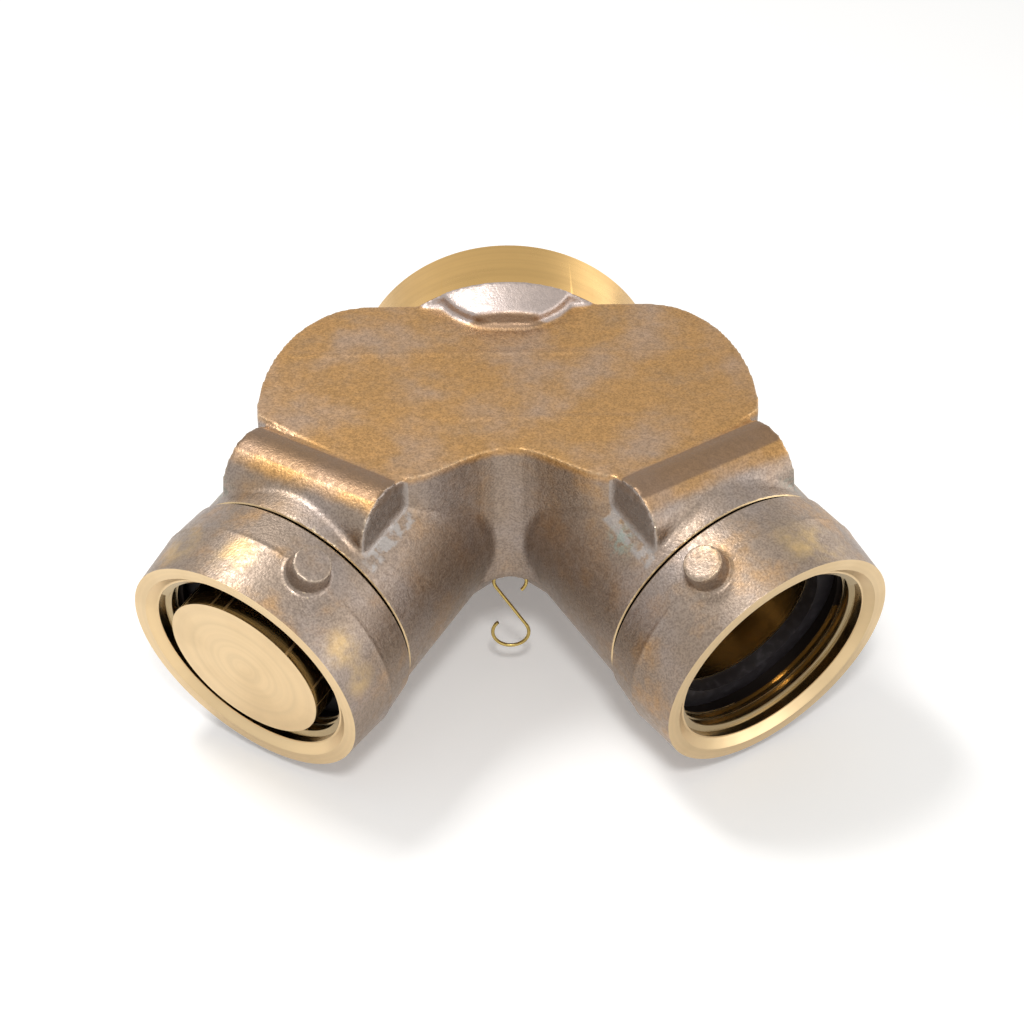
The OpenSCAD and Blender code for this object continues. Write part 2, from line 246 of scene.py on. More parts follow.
def place(o, matrix):
    """Moves a mesh's points, so that its object stays at the origin, unturned."""
    o.data.transform(matrix @ o.matrix_world)
    o.matrix_world = Matrix.Identity(4)
    if matrix.determinant() < 0:
        o.data.flip_normals()
    return o


def finish_with(o, kind, **settings):
    """Adds a modifier with its settings and applies it."""
    mod = o.modifiers.new(kind.lower(), kind)
    for key, value in settings.items():
        setattr(mod, key, value)
    choose(o)
    bpy.ops.object.modifier_apply(modifier=mod.name)
    return o


def combine(o, other, operation):
    """Joins or cuts with another object, which goes away. The quick solver leaves a mesh as it
    was when it can't read it, and the exact solver takes its place there."""
    before = len(o.data.vertices)
    finish_with(o, "BOOLEAN", object=other, operation=operation, solver="MANIFOLD")
    if len(o.data.vertices) in (0, before):
        finish_with(o, "BOOLEAN", object=other, operation=operation, solver="EXACT")
    bpy.data.objects.remove(other)
    return o


def join(*objects):
    choose(*objects)
    bpy.ops.object.join()
    return objects[0]


def rod(name, radius, start, end, matrix, vertices=128, bevel=0.0):
    """A round bar from start to end along a frame's +Z, its ends chamfered where asked."""
    o = primitive("cylinder", name, vertices=vertices, radius=radius, depth=abs(end - start),
                  location=(0, 0, (start + end) / 2))
    if bevel:
        bpy.ops.object.mode_set(mode="EDIT")
        bpy.ops.mesh.select_mode(type="EDGE")
        bpy.ops.mesh.select_all(action="DESELECT")
        bpy.ops.object.mode_set(mode="OBJECT")
        for e in o.data.edges:
            a, b = (o.data.vertices[i].co.z for i in e.vertices)
            e.select = abs(a - b) < 1e-7
        bpy.ops.object.mode_set(mode="EDIT")
        bpy.ops.mesh.bevel(offset=bevel, segments=2)
        bpy.ops.object.mode_set(mode="OBJECT")
    return place(o, matrix)


def chamfer(radius, end, size, matrix):
    """A ring that takes the outer corner off a bar's end, size deep along +Z and across."""
    low, high = sorted((end, end + size))
    ring = rod("chamfer", radius + 2 * MM, low - 1 * MM if size > 0 else low, high if size > 0 else high + 1 * MM,
               Matrix.Identity(4), ROUND)
    depth = abs(size) + 2 * MM
    at_end, inside = radius - abs(size) - 1 * MM, radius + 1 * MM
    radii = (at_end, inside) if size > 0 else (inside, at_end)
    middle = end + math.copysign(depth / 2 - 1 * MM, size)
    keep = primitive("cone", "keep", vertices=ROUND, radius1=radii[0], radius2=radii[1], depth=depth,
                     location=(0, 0, middle))
    combine(ring, place(keep, Matrix.Identity(4)), "DIFFERENCE")
    return place(ring, matrix)


def duplicate(o, name):
    """A second object with a mesh of its own."""
    twin = bpy.data.objects.new(name, o.data.copy())
    bpy.context.scene.collection.objects.link(twin)
    return twin


def merged_copy(node, name):
    """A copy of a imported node's mesh with its doubles merged."""
    o = bpy.data.objects.new(name, frame["nodes"][node].data.copy())
    o.data.materials.clear()
    bpy.context.scene.collection.objects.link(o)
    choose(o)
    bpy.ops.object.mode_set(mode="EDIT")
    bpy.ops.mesh.select_all(action="SELECT")
    bpy.ops.mesh.remove_doubles(threshold=0.00001)
    bpy.ops.mesh.normals_make_consistent(inside=False)
    bpy.ops.object.mode_set(mode="OBJECT")
    return o


def cast(o, kit, triangles):
    """Gives a joined blank the skin of a sand casting: its inner corners are filled by a much
    smoothed copy, which lies just under the skin elsewhere, and its edges are a little rounded off."""
    fillets = duplicate(o, "fillets")
    for piece, passes in ((o, kit.edge_passes), (fillets, kit.fillet_passes)):
        finish_with(piece, "REMESH", mode="VOXEL", voxel_size=kit.voxel)
        finish_with(piece, "SMOOTH", factor=0.5, iterations=passes)
    finish_with(fillets, "DISPLACE", strength=-0.12 * MM, mid_level=0.0)
    combine(o, fillets, "UNION")
    finish_with(o, "TRIANGULATE")
    if len(o.data.polygons) > triangles:
        finish_with(o, "DECIMATE", ratio=triangles / len(o.data.polygons))
    return o


def finish_by(o, materials, pick):
    """Puts on the materials, each face taking the one whose number pick(centre) gives."""
    o.data.materials.clear()
    for m in materials:
        o.data.materials.append(m)
    for p in o.data.polygons:
        p.material_index = pick(p.center)


def shade(o, degrees=35):
    choose(o)
    bpy.ops.object.shade_smooth_by_angle(angle=math.radians(degrees))


def depth_and_radius(point):
    """Depth behind an inlet's mouth and distance from its axis, on either side."""
    rel = Vector((abs(point.x), point.y, point.z)) - MOUTH
    depth = -rel.dot(OUT)
    return depth, (rel + depth * OUT).length


# ---- materials ----

def new_material(name):
    m = bpy.data.materials.new(name)
    m.use_nodes = True
    m.node_tree.nodes.clear()
    out = m.node_tree.nodes.new("ShaderNodeOutputMaterial")
    return m, m.node_tree, out


def add_node(tree, kind, inputs=None, **settings):
    """Adds a node: settings are its own, inputs are numbers or the sockets that feed it."""
    node = tree.nodes.new(kind)
    for key, value in settings.items():
        setattr(node, key, value)
    for key, value in (inputs or {}).items():
        if isinstance(value, bpy.types.NodeSocket):
            tree.links.new(value, node.inputs[key])
        else:
            node.inputs[key].default_value = value
    return node


def math_of(tree, operation, a, b=0.0, clamp=False):
    return add_node(tree, "ShaderNodeMath", {0: a, 1: b}, operation=operation, use_clamp=clamp).outputs[0]


def fade(tree, value, low, high, to_low=0.0, to_high=1.0):
    """A smooth step of a value between two marks."""
    return add_node(tree, "ShaderNodeMapRange",
                    {"Value": value, "From Min": low, "From Max": high, "To Min": to_low, "To Max": to_high},
                    interpolation_type="SMOOTHSTEP").outputs["Result"]


def between(tree, value, low, high, soft):
    """1 between two marks, fading to 0 over a soft edge inside each."""
    return math_of(tree, "MULTIPLY", fade(tree, value, low, low + soft), fade(tree, value, high, high - soft))


def blend_colours(tree, amount, first, second, how="MIX"):
    return add_node(tree, "ShaderNodeMix",
                    {0: amount, 6: first, 7: second}, data_type="RGBA", blend_type=how).outputs[2]


def solid_colour(values):
    return (*values, 1.0)


def grain(tree, vector, size, detail=2.0, roughness=0.5):
    """Noise whose lumps measure about size metres."""
    return add_node(tree, "ShaderNodeTexNoise",
                    {"Vector": vector, "Scale": 1 / size, "Detail": detail, "Roughness": roughness}).outputs["Fac"]


def dot(tree, vector, direction):
    return add_node(tree, "ShaderNodeVectorMath", {0: vector, 1: tuple(direction)},
                    operation="DOT_PRODUCT").outputs["Value"]


def inlet_places(tree):
    """Object place, and across, height, depth and radius in the inlet's own frame, on either side."""
    here = add_node(tree, "ShaderNodeTexCoord").outputs["Object"]
    parts = add_node(tree, "ShaderNodeSeparateXYZ", {0: here})
    folded = add_node(tree, "ShaderNodeCombineXYZ",
                      {0: math_of(tree, "ABSOLUTE", parts.outputs[0]), 1: parts.outputs[1], 2: parts.outputs[2]})
    rel = add_node(tree, "ShaderNodeVectorMath", {0: folded.outputs[0], 1: tuple(MOUTH)},
                   operation="SUBTRACT").outputs[0]
    across = dot(tree, rel, HINGE)
    height = dot(tree, rel, RISE)
    depth = math_of(tree, "MULTIPLY", dot(tree, rel, OUT), -1.0)
    square = math_of(tree, "ADD", math_of(tree, "MULTIPLY", across, across),
                     math_of(tree, "MULTIPLY", height, height))
    radius = math_of(tree, "SQRT", square)
    return here, parts.outputs, across, height, depth, radius


def near(tree, here, point, size):
    """1 at a point, fading to 0 at size metres."""
    gap = add_node(tree, "ShaderNodeVectorMath", {0: here, 1: point}, operation="DISTANCE").outputs["Value"]
    return fade(tree, gap, size, 0.2 * size)


def cast_brass(name, swivel):
    """Sand-cast brass as it leaves the mould: a grain of about 0.8 mm that breaks up every
    highlight, and clouds of gold, brown and mauve at random. On the body the colour also
    turns more golden towards the top face and browner on the walls below it, as painted light and shade."""
    kit = bpy.context.scene.casting
    hose = bpy.context.scene.swivels
    m, tree, out = new_material(name)
    here, parts, across, height, depth, radius = inlet_places(tree)
    gold, brown, mauve = (solid_colour(c) for c in (kit.gold, kit.brown, kit.mauve))

    fine = grain(tree, here, 0.8 * MM, 1.0)
    pits = grain(tree, here, 2.2 * MM, 3.0, 0.6)
    cloud = grain(tree, here, 14 * MM, 4.0, 0.6)
    broad = grain(tree, here, 45 * MM, 2.0)
    if swivel:
        golden = fade(tree, math_of(tree, "ADD", cloud, math_of(tree, "MULTIPLY", broad, 0.5)), 0.7, 1.05, 0.0, 0.7)
    else:
        # Painted light and shade: the body turns more golden and lighter towards the top face, as if lit from above,
        # and browner on the walls below it.
        top = fade(tree, parts[2], 47 * MM, 51.2 * MM)
        lean = math_of(tree, "ADD", math_of(tree, "MULTIPLY", top, 0.55), math_of(tree, "MULTIPLY", broad, 0.3))
        golden = fade(tree, math_of(tree, "ADD", cloud, lean), 0.55, 1.25)
    skin = blend_colours(tree, golden, brown, gold)
    skin = blend_colours(tree, fade(tree, grain(tree, here, 30 * MM, 4.0), 0.42, 0.72, 0.0, 0.4), skin, mauve)
    speck = fade(tree, fine, 0.34, 0.62)
    skin = blend_colours(tree, 0.32, skin, blend_colours(tree, speck, (0.45, 0.42, 0.40, 1), (1.25, 1.25, 1.22, 1)),
                         "MULTIPLY")
    # Convex edges, found by pointiness, turn lighter and smoother. The lower roughness stands for rubbed edges. The
    # lighter colour is partly that rubbing and partly a painted highlight.
    worn_edge_highlight = fade(tree, add_node(tree, "ShaderNodeNewGeometry").outputs["Pointiness"], 0.525, 0.6)
    skin = blend_colours(tree, math_of(tree, "MULTIPLY", worn_edge_highlight, 0.6), skin, solid_colour(kit.worn_edge_highlight))
    rough = math_of(tree, "SUBTRACT", fade(tree, pits, 0.3, 0.7, 0.36, 0.52), math_of(tree, "MULTIPLY", worn_edge_highlight, 0.12))
    relief = math_of(tree, "ADD", math_of(tree, "MULTIPLY", fine, 0.55), math_of(tree, "MULTIPLY", pits, 0.6))

    if swivel:
        rubbed = solid_colour(hose.rubbed)
        for x, y, z, size in RUBBED_PATCHES:
            spot = math_of(tree, "MULTIPLY", near(tree, here, (x * MM, y * MM, z * MM), size * MM),
                           fade(tree, cloud, 0.32, 0.6), clamp=True)
            skin = blend_colours(tree, math_of(tree, "MULTIPLY", spot, 0.6), skin, rubbed)
    else:
        grey = solid_colour(kit.grey)
        raised = fade(tree, parts[2], TOP_FACE + 0.1 * MM, TOP_FACE + 0.7 * MM)
        # Painted highlight: the sloping top of the dome is coloured silvery for the lamp's reflection on it.
        dome = math_of(tree, "MULTIPLY", raised, fade(tree, parts[1], -41.2 * MM, -39.8 * MM))
        skin = blend_colours(tree, math_of(tree, "MULTIPLY", dome, 0.85), skin, solid_colour(kit.pad))
        # Painted shade: the wall in front of the dome is coloured dark brown for the shade that falls on it.
        wall = math_of(tree, "MULTIPLY", raised, fade(tree, parts[1], -39.8 * MM, -41.2 * MM))
        skin = blend_colours(tree, math_of(tree, "MULTIPLY", wall, 0.8), skin, solid_colour(kit.shade))
        boss_off = math_of(tree, "SQRT", math_of(
            tree, "ADD", math_of(tree, "POWER", math_of(tree, "SUBTRACT", depth, BOSS_DEPTH), 2.0),
            math_of(tree, "POWER", math_of(tree, "SUBTRACT", height, BOSS_HEIGHT), 2.0)))
        sawn = between(tree, across, -33.0 * MM, -30.8 * MM, 0.5 * MM)
        sawn = math_of(tree, "MULTIPLY", sawn, fade(tree, boss_off, 17.2 * MM, 16.0 * MM))
        skin = blend_colours(tree, math_of(tree, "MULTIPLY", sawn, 0.75), skin, grey)
        rim = math_of(tree, "MULTIPLY", between(tree, across, -37.0 * MM, -31.7 * MM, 1.2 * MM),
                      between(tree, depth, 38 * MM, 68 * MM, 2 * MM))
        rim = math_of(tree, "MULTIPLY", rim, fade(tree, radius, kit.tube_radius + 1.2 * MM, kit.tube_radius + 0.7 * MM))
        rim = math_of(tree, "MULTIPLY", rim, fade(tree, grain(tree, here, 5 * MM, 3.0), 0.42, 0.55))
        skin = blend_colours(tree, math_of(tree, "MULTIPLY", rim, 0.6), skin,
                             solid_colour(hex_colour("#b3b0ae")))
        for x, y, z, size in PATINA_PATCHES:
            spot = math_of(tree, "MULTIPLY", near(tree, here, (x * MM, y * MM, z * MM), size * MM),
                           fade(tree, pits, 0.42, 0.6), clamp=True)
            skin = blend_colours(tree, math_of(tree, "MULTIPLY", spot, 0.5), skin, solid_colour(kit.patina))

    bump = add_node(tree, "ShaderNodeBump", {"Height": relief, "Strength": 0.5, "Distance": 0.35 * MM})
    metal = add_node(tree, "ShaderNodeBsdfPrincipled",
                     {"Base Color": skin, "Metallic": 0.92, "Roughness": rough, "Normal": bump.outputs[0]})
    tree.links.new(metal.outputs[0], out.inputs[0])
    return m


def turned_brass(name, values, axis=None, roughness=0.2, cut=0.25):
    """Brass fresh from the lathe: bright, with fine rings about its axis, spaced 0.6 mm so that
    they show, and slow streaks where the tool's load changed."""
    m, tree, out = new_material(name)
    if axis == "hub":
        here = add_node(tree, "ShaderNodeTexCoord").outputs["Object"]
        parts = add_node(tree, "ShaderNodeSeparateXYZ", {0: here}).outputs
        depth = parts[1]
        radius = math_of(tree, "SQRT", math_of(tree, "ADD", math_of(tree, "POWER", parts[0], 2.0),
                                               math_of(tree, "POWER", parts[2], 2.0)))
    else:
        here, _, _, _, depth, radius = inlet_places(tree)
    ring_place = add_node(tree, "ShaderNodeCombineXYZ", {0: radius, 1: depth, 2: 0.0}).outputs[0]
    rings = grain(tree, ring_place, 0.6 * MM, 1.0)
    bands = grain(tree, ring_place, 4 * MM, 2.0)
    smear = grain(tree, here, 18 * MM, 3.0)
    base = solid_colour(values)
    skin = blend_colours(tree, fade(tree, bands, 0.35, 0.7, 0.0, 0.35), base, solid_colour([c * 0.72 for c in values]))
    skin = blend_colours(tree, fade(tree, smear, 0.45, 0.7, 0.0, 0.3), skin, solid_colour([c * 0.8 for c in values]))
    bump = add_node(tree, "ShaderNodeBump", {"Height": rings, "Strength": cut, "Distance": 0.08 * MM})
    metal = add_node(tree, "ShaderNodeBsdfPrincipled",
                     {"Base Color": skin, "Metallic": 1.0,
                      "Roughness": fade(tree, smear, 0.3, 0.7, roughness, roughness + 0.1),
                      "Normal": bump.outputs[0]})
    tree.links.new(metal.outputs[0], out.inputs[0])
    return m


def moulded_rubber(name):
    """Black rubber washer, moulded: dull, with a light bloom and a faint grain of 1 mm."""
    kit = bpy.context.scene.fittings
    m, tree, out = new_material(name)
    here = add_node(tree, "ShaderNodeTexCoord").outputs["Object"]
    dust = grain(tree, here, 3 * MM, 4.0, 0.65)
    skin = blend_colours(tree, fade(tree, dust, 0.5, 0.75, 0.0, 0.35), solid_colour(kit.rubber),
                         solid_colour(hex_colour("#5a545a")))
    bump = add_node(tree, "ShaderNodeBump",
                    {"Height": grain(tree, here, 1 * MM), "Strength": 0.3, "Distance": 0.1 * MM})
    body = add_node(tree, "ShaderNodeBsdfPrincipled",
                    {"Base Color": skin, "Roughness": fade(tree, dust, 0.3, 0.7, 0.42, 0.6),
                     "IOR": 1.52, "Normal": bump.outputs[0]})
    tree.links.new(body.outputs[0], out.inputs[0])
    return m


def drawn_metal(name, values, roughness, size):
    """Drawn or ground metal: smooth, with slight dulled patches."""
    m, tree, out = new_material(name)
    here = add_node(tree, "ShaderNodeTexCoord").outputs["Object"]
    dull = grain(tree, here, size, 3.0)
    skin = blend_colours(tree, fade(tree, dull, 0.4, 0.7, 0.0, 0.5), solid_colour(values),
                         solid_colour([c * 0.7 for c in values]))
    bump = add_node(tree, "ShaderNodeBump",
                    {"Height": grain(tree, here, size / 6), "Strength": 0.2, "Distance": 0.05 * MM})
    metal = add_node(tree, "ShaderNodeBsdfPrincipled",
                     {"Base Color": skin, "Metallic": 1.0,
                      "Roughness": fade(tree, dull, 0.3, 0.7, roughness, roughness + 0.15),
                      "Normal": bump.outputs[0]})
    tree.links.new(metal.outputs[0], out.inputs[0])
    return m


# ---- the pieces ----

class INLET_OT_body(bpy.types.Operator):
    """Casts the body, turns its hub, nozzles and waterways, and bores the hook's eye"""

    bl_idname = "inlet.body"
    bl_label = "Cast Body"

    def seam(self, y, start, end):
        """A low ridge across the top face, where two pieces of the mould met."""
        across = Matrix.Translation((0, y * MM, TOP_FACE - 0.35 * MM)) @ Matrix.Rotation(math.pi / 2, 4, "Y")
        return rod("seam", 0.8 * MM, start * MM, end * MM, across, 24)

    def execute(self, context):
        kit = context.scene.casting
        along_y = Matrix.Rotation(-math.pi / 2, 4, "X")
        body = merged_copy("body", "body_casting")
        far = 80 * MM
        cores = [rod("core", kit.outlet_radius + 1 * MM, 1.5 * MM - kit.outlet_depth, 0, along_y)]
        cores += [rod("core", kit.nozzle_bore + 1.5 * MM, 0.5 * MM - kit.seat_depth, -kit.nozzle_front,
                      inlet_frame(side)) for side in SIDES]
        seams = [self.seam(*place_at) for place_at in SEAMS]
        cast(join(body, *cores, *seams), kit, kit.triangles)

        combine(body, rod("facing", 2 * far, kit.shoulder, far, along_y), "DIFFERENCE")
        hub = rod("hub", kit.hub_radius, kit.shoulder - 0.05 * MM, 0, along_y, 256)
        combine(body, hub, "UNION")
        tapping = rod("tapping", kit.outlet_radius, -kit.outlet_depth, 5 * MM, along_y, ROUND)
        combine(body, tapping, "DIFFERENCE")
        for side in SIDES:
            m = inlet_frame(side)
            combine(body, rod("front", far, -kit.tube_front, far, m), "DIFFERENCE")
            combine(body, chamfer(kit.tube_radius, -kit.tube_front, -0.5 * MM, m), "DIFFERENCE")
            nozzle = rod("nozzle", kit.nozzle_radius, -kit.tube_front - 4 * MM, -kit.nozzle_front, m,
                         ROUND, 0.4 * MM)
            combine(body, nozzle, "UNION")
            waterway = rod("waterway", kit.nozzle_bore, -kit.seat_depth - 1 * MM, 0, m, ROUND)
            combine(body, waterway, "DIFFERENCE")
        through_eye = Matrix.Translation(EYE) @ Matrix.Rotation(math.pi / 2, 4, "Y")
        drill = rod("drill", kit.eye_radius, -4 * MM, 4 * MM, through_eye, 48)
        combine(body, drill, "DIFFERENCE")

        def part_of(centre):
            depth, radius = depth_and_radius(centre)
            outlet = math.hypot(centre.x, centre.z)
            if centre.y > kit.shoulder - 0.05 * MM or (outlet < kit.outlet_radius + 0.1 * MM
                                                     and centre.y > -kit.outlet_depth - 0.1 * MM):
                return 1
            # The tube's turned front face sits in the gap behind the swivel, and it takes the near-black brass as
            # painted shade.
            if abs(depth - kit.tube_front) < 0.05 * MM:
                return 4
            if depth < kit.nozzle_front + 0.05 * MM or kit.tube_front < depth < kit.tube_front + 0.45 * MM:
                return 3
            if depth < kit.tube_front or (radius < kit.nozzle_bore + 0.1 * MM and depth < kit.seat_depth):
                return 2
            return 0

        finishes = ("sand_cast_body", "lathe_turned_hub", "lathe_turned_bore", "lathe_turned_face", "painted_shade_brass")
        finish_by(body, [bpy.data.materials[n] for n in finishes], part_of)
        shade(body, 32)
        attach(body, "body")
        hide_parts("body")
        return {"FINISHED"}


class INLET_OT_swivels(bpy.types.Operator):
    """Casts, turns and threads the two swivels, each with its own turn"""

    bl_idname = "inlet.swivels"
    bl_label = "Turn Swivels"

    def blank(self, kit):
        """A swivel's raw casting in its own frame, longer than the part at both ends."""
        spare = 3 * MM
        front = primitive("cone", "blank", vertices=128, radius1=kit.belly_radius, radius2=kit.face_radius,
                          depth=kit.lug_depth - 2 * MM, location=(0, 0, -(kit.lug_depth - 2 * MM) / 2))
        place(front, Matrix.Identity(4))
        belly = rod("belly", kit.belly_radius, -kit.lug_depth - 2 * MM, -kit.lug_depth + 2 * MM, Matrix.Identity(4))
        back_depth = kit.length - kit.lug_depth - 2 * MM
        back = primitive("cone", "back", vertices=128, radius1=kit.belly_radius - 1 * MM, radius2=kit.belly_radius,
                         depth=back_depth, location=(0, 0, -kit.lug_depth - 2 * MM - back_depth / 2))
        place(back, Matrix.Identity(4))
        ends = [rod("end", kit.face_radius, 0, spare, Matrix.Identity(4)),
                rod("end", kit.belly_radius - 1 * MM, -kit.length - spare, -kit.length, Matrix.Identity(4))]
        lugs = []
        for angle in (90, 270):
            reach = kit.belly_radius + kit.lug_height
            lug = primitive("cone", "lug", vertices=64, radius1=kit.lug_radius + 1.2 * MM,
                            radius2=kit.lug_radius - 0.6 * MM, depth=16 * MM, location=(0, 0, reach - 8 * MM))
            bpy.ops.object.mode_set(mode="EDIT")
            bpy.ops.mesh.select_all(action="SELECT")
            bpy.ops.mesh.subdivide(number_cuts=1)
            bpy.ops.object.mode_set(mode="OBJECT")
            place(lug, Matrix.Rotation(math.radians(angle), 4, "Z") @ Matrix.Translation((0, 0, -kit.lug_depth))
                  @ Matrix.Rotation(math.pi / 2, 4, "Y"))
            lugs.append(lug)
        seam = primitive("torus", "seam", major_radius=kit.belly_radius - 0.35 * MM, minor_radius=0.8 * MM,
                         major_segments=128, minor_segments=16, location=(0, 0, -kit.lug_depth))
        place(seam, Matrix.Identity(4))
        return cast(join(front, belly, back, seam, *ends, *lugs), kit, MOST_TRIANGLES)

    def thread(self, kit):
        """The hose thread's ridge, wound on its pitch."""
        turns = 3
        ridge = primitive("plane", "thread", size=1)
        inner, outer = kit.crest_radius, kit.root_radius + 0.5 * MM
        crest, root = 0.2 * MM, 1.3 * MM
        corners = [(inner, -crest), (outer, -root), (outer, root), (inner, crest)]
        order = sorted(ridge.data.vertices, key=lambda v: math.atan2(v.co.y, v.co.x))
        by_angle = sorted(corners, key=lambda c: math.atan2(c[1], c[0] - (inner + outer) / 2))
        for vertex, (r, z) in zip(order, by_angle):
            vertex.co = (r, 0, z)
        choose(ridge)
        bpy.ops.object.mode_set(mode="EDIT")
        bpy.ops.mesh.select_all(action="SELECT")
        bpy.ops.mesh.delete(type="ONLY_FACE")
        bpy.ops.object.mode_set(mode="OBJECT")
        finish_with(ridge, "SCREW", axis="Z", angle=2 * math.pi, screw_offset=-kit.pitch, iterations=turns,
                    steps=96, render_steps=96, use_merge_vertices=False)
        bpy.ops.object.mode_set(mode="EDIT")
        bpy.ops.mesh.select_mode(type="EDGE")
        bpy.ops.mesh.select_all(action="DESELECT")
        bpy.ops.mesh.select_non_manifold()
        bpy.ops.mesh.edge_face_add()
        bpy.ops.mesh.select_all(action="SELECT")
        bpy.ops.mesh.normals_make_consistent(inside=False)
        bpy.ops.object.mode_set(mode="OBJECT")
        return place(ridge, Matrix.Translation((0, 0, -4.6 * MM)))

    def execute(self, context):
        kit = context.scene.swivels
        casting = context.scene.casting
        still = Matrix.Identity(4)
        blank = self.blank(kit)
        far = 80 * MM
        bores = (
            (kit.root_radius, -kit.gasket_depth - 1 * MM, far),
            (kit.seat_radius, -casting.nozzle_front, -kit.gasket_depth),
            (casting.nozzle_radius + 0.1 * MM, -kit.length - 10 * MM, -casting.nozzle_front + 1 * MM),
        )
        combine(blank, rod("facing", far, 0, far, still), "DIFFERENCE")
        combine(blank, rod("tail", far, -far, -kit.length, still), "DIFFERENCE")
        combine(blank, chamfer(kit.belly_radius - 1 * MM, -kit.length, 0.7 * MM, still), "DIFFERENCE")
        for radius, start, end in bores:
            combine(blank, rod("bore", radius, start, end, still, ROUND), "DIFFERENCE")
        race = primitive("torus", "race", major_radius=casting.nozzle_radius + 0.05 * MM, minor_radius=2.5 * MM,
                         major_segments=ROUND, minor_segments=24,
                         location=(0, 0, -(casting.nozzle_front + kit.length) / 2))
        combine(blank, place(race, still), "DIFFERENCE")
        combine(blank, self.thread(kit), "UNION")
        mouth = primitive("cone", "mouth", vertices=ROUND, radius1=kit.root_radius + 0.7 * MM,
                          radius2=kit.mouth_radius, depth=kit.mouth_depth, location=(0, 0, -kit.mouth_depth / 2))
        combine(blank, place(mouth, still), "DIFFERENCE")

        for side, turn in (("right", kit.lug_turn_right), ("left", kit.lug_turn_left)):
            swivel = place(duplicate(blank, f"hose_swivel_{side}"),
                           inlet_frame(side) @ Matrix.Rotation(turn, 4, "Z"))

            def part_of(centre):
                depth, radius = depth_and_radius(centre)
                if depth < 0.05 * MM:
                    return 1
                if depth > kit.length - 0.05 * MM:
                    return 2
                # The relief behind the thread, down to the gasket, takes the near-black brass as painted shade.
                if radius < kit.seat_radius + 1.5 * MM and depth > 13.6 * MM:
                    return 3
                if radius < kit.mouth_radius and (depth < kit.mouth_depth or radius < kit.crest_radius + 0.25 * MM):
                    return 1
                return 2 if radius < 43 * MM else 0

            finish_by(swivel, [bpy.data.materials[n] for n in ("sand_cast_swivel", "lathe_turned_face",
                                                              "lathe_turned_bore", "painted_shade_brass")], part_of)
            shade(swivel, 32)
            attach(swivel, f"swivel_{side}")
            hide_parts(f"swivel_{side}")
        bpy.data.objects.remove(blank)
        return {"FINISHED"}


class INLET_OT_materials(bpy.types.Operator):
    """Makes the brass, rubber and steel finishes, before the pieces take them"""

    bl_idname = "inlet.materials"
    bl_label = "Make Finishes"

    def execute(self, context):
        hose = context.scene.swivels
        fit = context.scene.fittings
        cast_brass("sand_cast_body", swivel=False)
        cast_brass("sand_cast_swivel", swivel=True)
        turned_brass("lathe_turned_bore", hose.turned, roughness=0.13, cut=0.5)
        turned_brass("lathe_turned_face", hose.face, roughness=0.3)
        # Near-black brass: painted shade for the deep relief behind the thread and for the tube's front face in the gap
        # behind the swivel.
        turned_brass("painted_shade_brass", hex_colour("#2b2522"), roughness=0.5)
        turned_brass("lathe_turned_hub", fit.hub, "hub", 0.24)
        moulded_rubber("moulded_rubber")
        drawn_metal("drawn_brass_wire", fit.wire, 0.22, 3 * MM)
        drawn_metal("ground_steel", fit.steel, 0.18, 4 * MM)
        return {"FINISHED"}


class INLET_OT_fittings(bpy.types.Operator):
    """Finishes the gaskets, clappers, pins, plugs, balls and the wire hook"""

    bl_idname = "inlet.fittings"
    bl_label = "Finish Fittings"

    FINISHES = {
        "hose_gasket": "moulded_rubber",
        "clapper_facing": "moulded_rubber",
        "bearing_balls": "ground_steel",
        "hinge_pin": "ground_steel",
        "clapper": "sand_cast_body",
        "ball_plug": "lathe_turned_bore",
        "facing_washer": "lathe_turned_bore",
        "facing_screw": "lathe_turned_bore",
        "pin_plug": "lathe_turned_bore",
    }

    def execute(self, context):
        finishes = {f"{n}_{side}": m for n, m in self.FINISHES.items() for side in SIDES}
        finishes["s_hook"] = "drawn_brass_wire"
        for node, material in finishes.items():
            o = frame["nodes"][node]
            o.data.materials.clear()
            o.data.materials.append(bpy.data.materials[material])
        return {"FINISHED"}


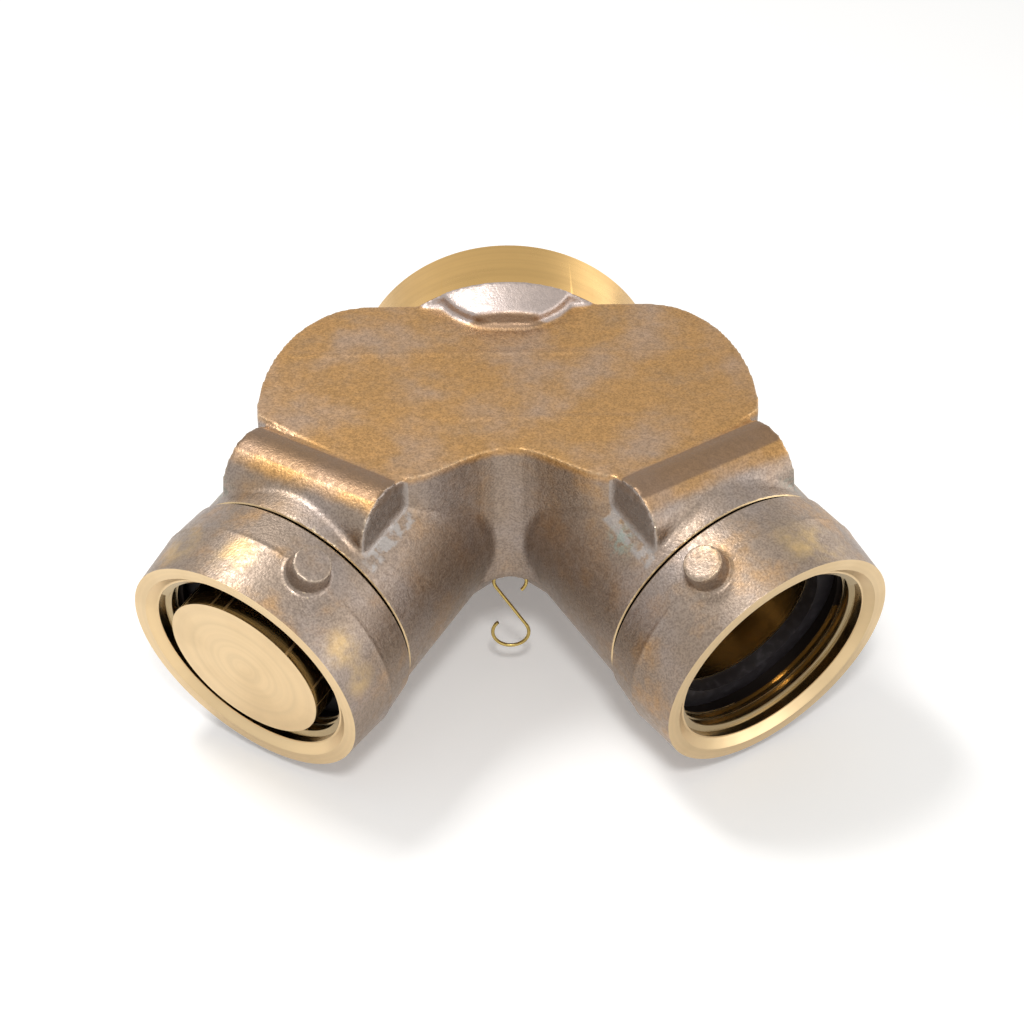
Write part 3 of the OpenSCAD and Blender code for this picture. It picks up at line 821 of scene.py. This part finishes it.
class INLET_OT_stage(bpy.types.Operator):
    """Lays the pale floor and sets the lamps, the room's light and the camera"""

    bl_idname = "inlet.stage"
    bl_label = "Set Stage"

    def lamp(self, name, place_at, power, size, aim):
        data = bpy.data.lights.new(name, "AREA")
        data.energy, data.size = power, size
        lamp = bpy.data.objects.new(name, data)
        bpy.context.scene.collection.objects.link(lamp)
        lamp.location = place_at
        lamp.rotation_euler = (Vector(aim) - Vector(place_at)).to_track_quat("-Z", "Y").to_euler()

    def execute(self, context):
        kit = context.scene.stage
        low, high = (Vector(v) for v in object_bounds())
        middle = (low + high) / 2
        floor = primitive("plane", "floor", size=30, location=(middle.x, middle.y, low.z))
        place(floor, Matrix.Identity(4))
        m, tree, out = new_material("pale_floor")
        rays = add_node(tree, "ShaderNodeLightPath")
        card = add_node(tree, "ShaderNodeBsdfDiffuse", {"Color": solid_colour(kit.floor)})
        lift = add_node(tree, "ShaderNodeEmission", {"Color": (1, 1, 1, 1), "Strength": 0.2})
        both = add_node(tree, "ShaderNodeAddShader", {0: card.outputs[0], 1: lift.outputs[0]})
        shown = math_of(tree, "MAXIMUM", rays.outputs["Is Camera Ray"],
                        math_of(tree, "MAXIMUM", rays.outputs["Is Glossy Ray"], rays.outputs["Is Transmission Ray"]))
        seen = add_node(tree, "ShaderNodeMixShader", {0: shown, 1: card.outputs[0], 2: both.outputs[0]})
        tree.links.new(seen.outputs[0], out.inputs[0])
        floor.data.materials.append(m)
        floor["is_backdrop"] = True

        world = bpy.data.worlds.new("studio")
        world.use_nodes = True
        tree = world.node_tree
        tree.nodes.clear()
        out = tree.nodes.new("ShaderNodeOutputWorld")
        rays = add_node(tree, "ShaderNodeLightPath")
        toward = add_node(tree, "ShaderNodeSeparateXYZ",
                          {0: add_node(tree, "ShaderNodeTexCoord").outputs["Generated"]}).outputs
        up = toward[2]
        shown = add_node(tree, "ShaderNodeValToRGB", {0: up})
        ramp = shown.color_ramp.elements
        ramp[0].position, ramp[0].color = 0.0, (1, 1, 1, 1)
        ramp[1].position, ramp[1].color = 0.48, (0.72, 0.72, 0.72, 1)
        for place_at, level in ((0.26, 0.98), (0.75, 0.66), (0.9, 1.0)):
            e = ramp.new(place_at)
            e.color = (level, level, level, 1)
        mirror = math_of(tree, "MAXIMUM", rays.outputs["Is Glossy Ray"], rays.outputs["Is Transmission Ray"])
        window = math_of(tree, "MULTIPLY", fade(tree, toward[0], 0.25, 0.8), fade(tree, up, 0.6, 0.3))
        glare = blend_colours(tree, math_of(tree, "MULTIPLY", window, kit.window), shown.outputs[0],
                              (4, 4, 4, 1))
        reflected = blend_colours(tree, mirror, (kit.ambient,) * 3 + (1,), glare)
        all_rays = blend_colours(tree, rays.outputs["Is Camera Ray"], reflected, (1, 1, 1, 1))
        light = add_node(tree, "ShaderNodeBackground", {"Color": all_rays, "Strength": 1.0})
        tree.links.new(light.outputs[0], out.inputs[0])
        context.scene.world = world

        self.lamp("overhead", (middle.x - 0.45, middle.y + 0.2, 1.1), kit.overhead, 0.3, middle)
        self.lamp("front", (middle.x + 0.03, middle.y - 0.8, 1.05), kit.front, 0.16, middle)

        data = bpy.data.cameras.new("camera")
        data.lens, data.sensor_width = kit.lens, 36
        camera = bpy.data.objects.new("camera", data)
        context.scene.collection.objects.link(camera)
        eye, aim = Vector(kit.camera_place), Vector(kit.target)
        ahead = (aim - eye).normalized()
        right = math.cos(kit.roll) * Vector((1, 0, 0)) + math.sin(kit.roll) * Vector((1, 0, 0)).cross(ahead)
        right.normalize()
        up = right.cross(ahead)
        camera.matrix_world = Matrix.Translation(eye) @ Matrix([right, up, -ahead]).transposed().to_4x4()
        context.scene.camera = camera
        context.scene.view_settings.view_transform = "Standard"
        return {"FINISHED"}


OPERATORS = (INLET_OT_materials, INLET_OT_body, INLET_OT_swivels, INLET_OT_fittings, INLET_OT_stage)
GROUPS = {"casting": CastingSettings, "swivels": SwivelSettings, "fittings": FittingSettings, "stage": StageSettings}


class INLET_PT_panel(bpy.types.Panel):
    bl_idname = "INLET_PT_panel"
    bl_label = "Fire Department Connection"
    bl_space_type = "VIEW_3D"
    bl_region_type = "UI"
    bl_category = "Inlet"

    def draw(self, context):
        for name, group in GROUPS.items():
            box = self.layout.box()
            box.label(text=name.capitalize())
            for key in group.__annotations__:
                box.prop(getattr(context.scene, name), key)
        for operator in OPERATORS:
            self.layout.operator(operator.bl_idname)


def register():
    for cls in (*GROUPS.values(), *OPERATORS, INLET_PT_panel):
        bpy.utils.register_class(cls)
    for name, group in GROUPS.items():
        setattr(bpy.types.Scene, name, PointerProperty(type=group))


def unregister():
    for name in GROUPS:
        delattr(bpy.types.Scene, name)
    for cls in (INLET_PT_panel, *reversed(OPERATORS), *GROUPS.values()):
        bpy.utils.unregister_class(cls)


def main():
    register()
    bpy.ops.inlet.materials()
    bpy.ops.inlet.body()
    bpy.ops.inlet.swivels()
    bpy.ops.inlet.fittings()
    bpy.ops.inlet.stage()


if __name__ == "__main__":
    main()
